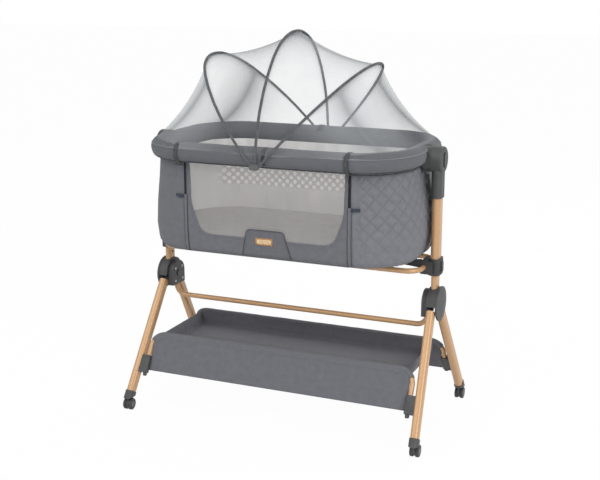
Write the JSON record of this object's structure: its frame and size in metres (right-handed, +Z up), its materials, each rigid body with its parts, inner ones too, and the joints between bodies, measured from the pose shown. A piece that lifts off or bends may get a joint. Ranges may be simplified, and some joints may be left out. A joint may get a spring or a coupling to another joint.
{
  "type": "bedside sleeper crib",
  "caption": "Bedside sleeper crib: padded basket with mesh drop side and bowed net, on height-adjusting masts with folding caster legs and a fabric storage tray.",
  "frame": {"origin": "on the floor under the middle of the crib", "axes": "+X along the crib, -Y towards the drop side, +Z up"},
  "size_m": [0.9286, 0.5454, 1.1321],
  "materials": {
    "gold_tube": "satin gold paint with fine lengthwise lines",
    "charcoal_plastic": "fine moulded texture",
    "button_plastic": "smooth matt",
    "steel": "bright zinc",
    "wheel_plastic": "smooth, silver hub caps",
    "linen": "blue-grey linen weave",
    "rail_linen": "darker linen weave, padded",
    "window_mesh": "pale knitted mesh",
    "mattress_cover": "pale quilted cotton",
    "net": "sheer net",
    "bow_sleeve": "grey sleeve",
    "webbing": "black webbing"
  },
  "bodies": {
    "stand": {"crossbar": "gold_tube", "inner_uprights": "gold_tube", "hub_core_right": "charcoal_plastic", "hub_core_left": "charcoal_plastic", "hub_covers": "charcoal_plastic", "hub_pins": "steel", "tray_trough": "linen"},
    "front_legs": {"leg_front_right": "gold_tube", "leg_front_left": "gold_tube", "front_knuckles": "charcoal_plastic", "front_leg_sockets": "charcoal_plastic", "tray_tube_front": "gold_tube", "tray_brackets_front": "charcoal_plastic", "tray_panel_front": "linen"},
    "back_legs": {"leg_back_right": "gold_tube", "leg_back_left": "gold_tube", "back_knuckles": "charcoal_plastic", "back_leg_sockets": "charcoal_plastic", "tray_tube_back": "gold_tube", "tray_brackets_back": "charcoal_plastic", "tray_panel_back": "linen"},
    "masts": {"outer_upright_right": "gold_tube", "outer_upright_left": "gold_tube", "collar_right": "charcoal_plastic", "collar_left": "charcoal_plastic", "cap_right": "charcoal_plastic", "cap_left": "charcoal_plastic", "cradle_tubes": "gold_tube"},
    "basket": {"pivot_bosses": "charcoal_plastic", "rail_pad": "rail_linen", "rail_bar": "steel", "skirt_right": "linen", "skirt_left": "linen", "back_panel": "linen", "back_mesh": "window_mesh", "base_board": "linen", "mattress": "mattress_cover", "side_straps": "webbing", "clip_front": "charcoal_plastic", "clip_back": "charcoal_plastic", "bow_middle": "bow_sleeve", "net_left": "net", "net_right": "net"},
    "drop_side": {"rail_front": "rail_linen", "front_panel": "linen", "front_mesh": "window_mesh"},
    "left_bow": {"bow_left": "bow_sleeve"},
    "right_bow": {"bow_right": "bow_sleeve"},
    "collar_push_left": {"collar_button_left": "button_plastic"},
    "collar_push_right": {"collar_button_right": "button_plastic"},
    "cap_push_left": {"cap_button_left": "button_plastic"},
    "cap_push_right": {"cap_button_right": "button_plastic"},
    "caster_front_left": {"caster_fork_front_left": "charcoal_plastic"},
    "wheels_front_left": {"caster_wheels_front_left": "wheel_plastic"},
    "caster_front_right": {"caster_fork_front_right": "charcoal_plastic"},
    "wheels_front_right": {"caster_wheels_front_right": "wheel_plastic"},
    "caster_back_left": {"caster_fork_back_left": "charcoal_plastic"},
    "wheels_back_left": {"caster_wheels_back_left": "wheel_plastic"},
    "caster_back_right": {"caster_fork_back_right": "charcoal_plastic"},
    "wheels_back_right": {"caster_wheels_back_right": "wheel_plastic"}
  },
  "joints": [
    {"name": "front_leg_fold", "type": "hinge", "parent": "stand", "child": "front_legs", "pos_m": [0, 0, 0.374], "axis": [1, 0, 0], "range_deg": [0, 26], "deforming": ["tray_trough"]},
    {"name": "back_leg_fold", "type": "hinge", "parent": "stand", "child": "back_legs", "pos_m": [0, 0, 0.374], "axis": [-1, 0, 0], "range_deg": [0, 26], "deforming": ["tray_trough"]},
    {"name": "height_adjust", "type": "slide", "parent": "stand", "child": "masts", "axis": [0, 0, 1], "range_m": [0, 0.18]},
    {"name": "cradle_rock", "type": "hinge", "parent": "masts", "child": "basket", "pos_m": [0, 0, 0.787], "axis": [1, 0, 0], "range_deg": [-4, 4]},
    {"name": "drop_side_slide", "type": "slide", "parent": "basket", "child": "drop_side", "axis": [0, 0, -1], "range_m": [0, 0.15]},
    {"name": "left_bow_fold", "type": "hinge", "parent": "basket", "child": "left_bow", "pos_m": [-0.015, 0, 0.779], "axis": [0, 1, 0], "range_deg": [0, 41.4], "deforming": ["net_left"]},
    {"name": "right_bow_fold", "type": "hinge", "parent": "basket", "child": "right_bow", "pos_m": [0.005, 0, 0.779], "axis": [0, -1, 0], "range_deg": [0, 40.5], "deforming": ["net_right"]},
    {"name": "collar_button_left_press", "type": "slide", "parent": "masts", "child": "collar_push_left", "axis": [1, 0, 0], "range_m": [0, 0.0025], "stiffness_N_per_m": 600, "springref_m": -0.003},
    {"name": "cap_button_left_press", "type": "slide", "parent": "masts", "child": "cap_push_left", "axis": [1, 0, 0], "range_m": [0, 0.0025], "stiffness_N_per_m": 600, "springref_m": -0.003},
    {"name": "collar_button_right_press", "type": "slide", "parent": "masts", "child": "collar_push_right", "axis": [-1, 0, 0], "range_m": [0, 0.0025], "stiffness_N_per_m": 600, "springref_m": -0.003},
    {"name": "cap_button_right_press", "type": "slide", "parent": "masts", "child": "cap_push_right", "axis": [-1, 0, 0], "range_m": [0, 0.0025], "stiffness_N_per_m": 600, "springref_m": -0.003},
    {"name": "caster_front_left_swivel", "type": "hinge", "parent": "front_legs", "child": "caster_front_left", "pos_m": [-0.45, -0.23, 0.04], "axis": [0, 0, 1], "continuous": true},
    {"name": "wheels_front_left_spin", "type": "hinge", "parent": "caster_front_left", "child": "wheels_front_left", "pos_m": [-0.45, -0.239, 0.0175], "axis": [1, 0, 0], "continuous": true},
    {"name": "caster_front_right_swivel", "type": "hinge", "parent": "front_legs", "child": "caster_front_right", "pos_m": [0.45, -0.23, 0.04], "axis": [0, 0, 1], "continuous": true},
    {"name": "wheels_front_right_spin", "type": "hinge", "parent": "caster_front_right", "child": "wheels_front_right", "pos_m": [0.45, -0.221, 0.0175], "axis": [1, 0, 0], "continuous": true},
    {"name": "caster_back_left_swivel", "type": "hinge", "parent": "back_legs", "child": "caster_back_left", "pos_m": [-0.45, 0.23, 0.04], "axis": [0, 0, 1], "continuous": true},
    {"name": "wheels_back_left_spin", "type": "hinge", "parent": "caster_back_left", "child": "wheels_back_left", "pos_m": [-0.45, 0.239, 0.0175], "axis": [1, 0, 0], "continuous": true},
    {"name": "caster_back_right_swivel", "type": "hinge", "parent": "back_legs", "child": "caster_back_right", "pos_m": [0.45, 0.23, 0.04], "axis": [0, 0, 1], "continuous": true},
    {"name": "wheels_back_right_spin", "type": "hinge", "parent": "caster_back_right", "child": "wheels_back_right", "pos_m": [0.45, 0.239, 0.0175], "axis": [1, 0, 0], "continuous": true}
  ],
  "couplings": [
    {"joint": "back_leg_fold", "follows": "front_leg_fold", "ratio": 1}
  ]
}
